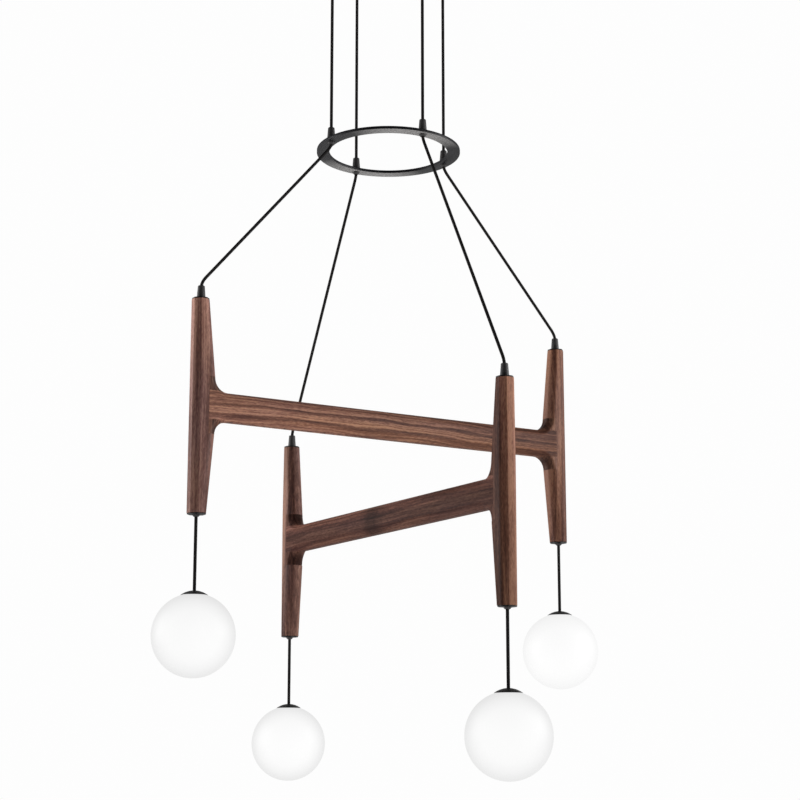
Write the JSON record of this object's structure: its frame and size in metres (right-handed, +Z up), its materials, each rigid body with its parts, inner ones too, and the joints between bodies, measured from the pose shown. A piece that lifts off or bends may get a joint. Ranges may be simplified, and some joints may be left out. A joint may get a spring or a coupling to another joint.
{
  "type": "chandelier",
  "caption": "Hanging lamp: crossed H-shaped walnut frames on black cables from a ring and a ceiling canopy, with an opal glass globe below each post",
  "frame": {"origin": "on the ceiling, at the centre of the bracket's upper face", "axes": "+Z up towards the ceiling, +X along the upper crossbar, +Y along the lower crossbar"},
  "size_m": [0.95, 0.95, 1.679],
  "materials": {
    "canopy": "satin black powder coat",
    "fixings": "zinc plated",
    "screws": "satin black",
    "tube": "zinc plated, threaded",
    "insulator": "moulded",
    "fitting": "satin black",
    "plate": "satin black",
    "ring": "satin dark grey",
    "cable": "fine black braid",
    "walnut": "oiled walnut",
    "dowel": "beech",
    "cap": "satin black",
    "holder": "glazed",
    "bulb": "frosted capsule",
    "opal": "satin opal"
  },
  "bodies": {
    "canopy": {"ceiling_bracket": "fixings", "canopy_cup": "canopy", "canopy_side_screws": "screws", "terminal_block": "insulator", "canopy_grips": "fitting", "canopy_nipples": "tube", "canopy_nuts": "fixings", "canopy_leads": "cable"},
    "side_cables": {"left_suspension_cable": "cable", "right_suspension_cable": "cable"},
    "front_cable": {"front_suspension_cable": "cable"},
    "rear_cable": {"rear_suspension_cable": "cable"},
    "ring": {"suspension_ring": "ring", "ring_grips": "fitting", "ring_nipples": "tube", "ring_nuts": "fitting", "ring_leads": "cable"},
    "frame_upper": {"upper_crossbar": "walnut", "upper_dowels": "dowel", "left_post": "walnut", "right_post": "walnut", "upper_post_tubes": "tube", "upper_top_plates": "plate", "upper_bottom_plates": "plate", "upper_post_grips": "fitting", "upper_bottom_bushes": "fitting", "left_frame_cable": "cable", "right_frame_cable": "cable"},
    "left_pendant": {"left_drop_cable": "cable"},
    "left_lamp": {"left_globe_cap": "cap", "left_lampholder": "holder"},
    "left_glass": {"left_globe": "opal"},
    "left_bulb": {"left_bulb": "bulb"},
    "right_pendant": {"right_drop_cable": "cable"},
    "right_lamp": {"right_globe_cap": "cap", "right_lampholder": "holder"},
    "right_glass": {"right_globe": "opal"},
    "right_bulb": {"right_bulb": "bulb"},
    "frame_lower": {"lower_crossbar": "walnut", "lower_dowels": "dowel", "front_post": "walnut", "rear_post": "walnut", "lower_post_tubes": "tube", "lower_top_plates": "plate", "lower_bottom_plates": "plate", "lower_post_grips": "fitting", "lower_bottom_bushes": "fitting", "front_frame_cable": "cable", "rear_frame_cable": "cable"},
    "front_pendant": {"front_drop_cable": "cable"},
    "front_lamp": {"front_globe_cap": "cap", "front_lampholder": "holder"},
    "front_glass": {"front_globe": "opal"},
    "front_bulb": {"front_bulb": "bulb"},
    "rear_pendant": {"rear_drop_cable": "cable"},
    "rear_lamp": {"rear_globe_cap": "cap", "rear_lampholder": "holder"},
    "rear_glass": {"rear_globe": "opal"},
    "rear_bulb": {"rear_bulb": "bulb"}
  },
  "joints": [
    {"name": "side_cables_sway", "type": "hinge", "parent": "canopy", "child": "side_cables", "pos_m": [0, 0, -0.054], "axis": [1, 0, 0], "range_deg": [-6, 6]},
    {"name": "front_cable_sway", "type": "hinge", "parent": "canopy", "child": "front_cable", "pos_m": [0, -0.13, -0.054], "axis": [1, 0, 0], "range_deg": [-6, 6]},
    {"name": "rear_cable_sway", "type": "hinge", "parent": "canopy", "child": "rear_cable", "pos_m": [0, 0.13, -0.054], "axis": [1, 0, 0], "range_deg": [-6, 6]},
    {"name": "ring_level", "type": "hinge", "parent": "side_cables", "child": "ring", "pos_m": [0, 0, -0.426], "axis": [1, 0, 0], "range_deg": [-6, 6]},
    {"name": "frame_upper_swing", "type": "hinge", "parent": "ring", "child": "frame_upper", "pos_m": [0, 0, -0.461], "axis": [1, 0, 0], "range_deg": [-12, 12]},
    {"name": "left_pendant_swing", "type": "hinge", "parent": "frame_upper", "child": "left_pendant", "pos_m": [-0.4, 0, -1.214], "axis": [0, 1, 0], "range_deg": [-20, 20]},
    {"name": "left_lamp_tilt", "type": "hinge", "parent": "left_pendant", "child": "left_lamp", "pos_m": [-0.4, 0, -1.3464], "axis": [1, 0, 0], "range_deg": [-15, 15]},
    {"name": "left_globe_twist", "type": "hinge", "parent": "left_lamp", "child": "left_glass", "pos_m": [-0.4, 0, -1.426], "axis": [0, 0, 1], "range_deg": [-30, 0]},
    {"name": "left_bulb_pull", "type": "slide", "parent": "left_lamp", "child": "left_bulb", "axis": [0, 0, -1], "range_m": [0, 0.008]},
    {"name": "right_pendant_swing", "type": "hinge", "parent": "frame_upper", "child": "right_pendant", "pos_m": [0.4, 0, -1.214], "axis": [0, 1, 0], "range_deg": [-20, 20]},
    {"name": "right_lamp_tilt", "type": "hinge", "parent": "right_pendant", "child": "right_lamp", "pos_m": [0.4, 0, -1.3464], "axis": [1, 0, 0], "range_deg": [-15, 15]},
    {"name": "right_globe_twist", "type": "hinge", "parent": "right_lamp", "child": "right_glass", "pos_m": [0.4, 0, -1.426], "axis": [0, 0, 1], "range_deg": [-30, 0]},
    {"name": "right_bulb_pull", "type": "slide", "parent": "right_lamp", "child": "right_bulb", "axis": [0, 0, -1], "range_m": [0, 0.008]},
    {"name": "frame_lower_swing", "type": "hinge", "parent": "ring", "child": "frame_lower", "pos_m": [0, 0, -0.461], "axis": [0, 1, 0], "range_deg": [-12, 12]},
    {"name": "front_pendant_swing", "type": "hinge", "parent": "frame_lower", "child": "front_pendant", "pos_m": [0, -0.4, -1.392], "axis": [1, 0, 0], "range_deg": [-20, 20]},
    {"name": "front_lamp_tilt", "type": "hinge", "parent": "front_pendant", "child": "front_lamp", "pos_m": [0, -0.4, -1.5244], "axis": [0, 1, 0], "range_deg": [-15, 15]},
    {"name": "front_globe_twist", "type": "hinge", "parent": "front_lamp", "child": "front_glass", "pos_m": [0, -0.4, -1.604], "axis": [0, 0, 1], "range_deg": [-30, 0]},
    {"name": "front_bulb_pull", "type": "slide", "parent": "front_lamp", "child": "front_bulb", "axis": [0, 0, -1], "range_m": [0, 0.008]},
    {"name": "rear_pendant_swing", "type": "hinge", "parent": "frame_lower", "child": "rear_pendant", "pos_m": [0, 0.4, -1.392], "axis": [1, 0, 0], "range_deg": [-20, 20]},
    {"name": "rear_lamp_tilt", "type": "hinge", "parent": "rear_pendant", "child": "rear_lamp", "pos_m": [0, 0.4, -1.5244], "axis": [0, 1, 0], "range_deg": [-15, 15]},
    {"name": "rear_globe_twist", "type": "hinge", "parent": "rear_lamp", "child": "rear_glass", "pos_m": [0, 0.4, -1.604], "axis": [0, 0, 1], "range_deg": [-30, 0]},
    {"name": "rear_bulb_pull", "type": "slide", "parent": "rear_lamp", "child": "rear_bulb", "axis": [0, 0, -1], "range_m": [0, 0.008]}
  ],
  "couplings": [
    {"joint": "side_cables_sway", "follows": "ring_level", "ratio": -1},
    {"joint": "front_cable_sway", "follows": "ring_level", "ratio": -1},
    {"joint": "rear_cable_sway", "follows": "ring_level", "ratio": -1}
  ]
}
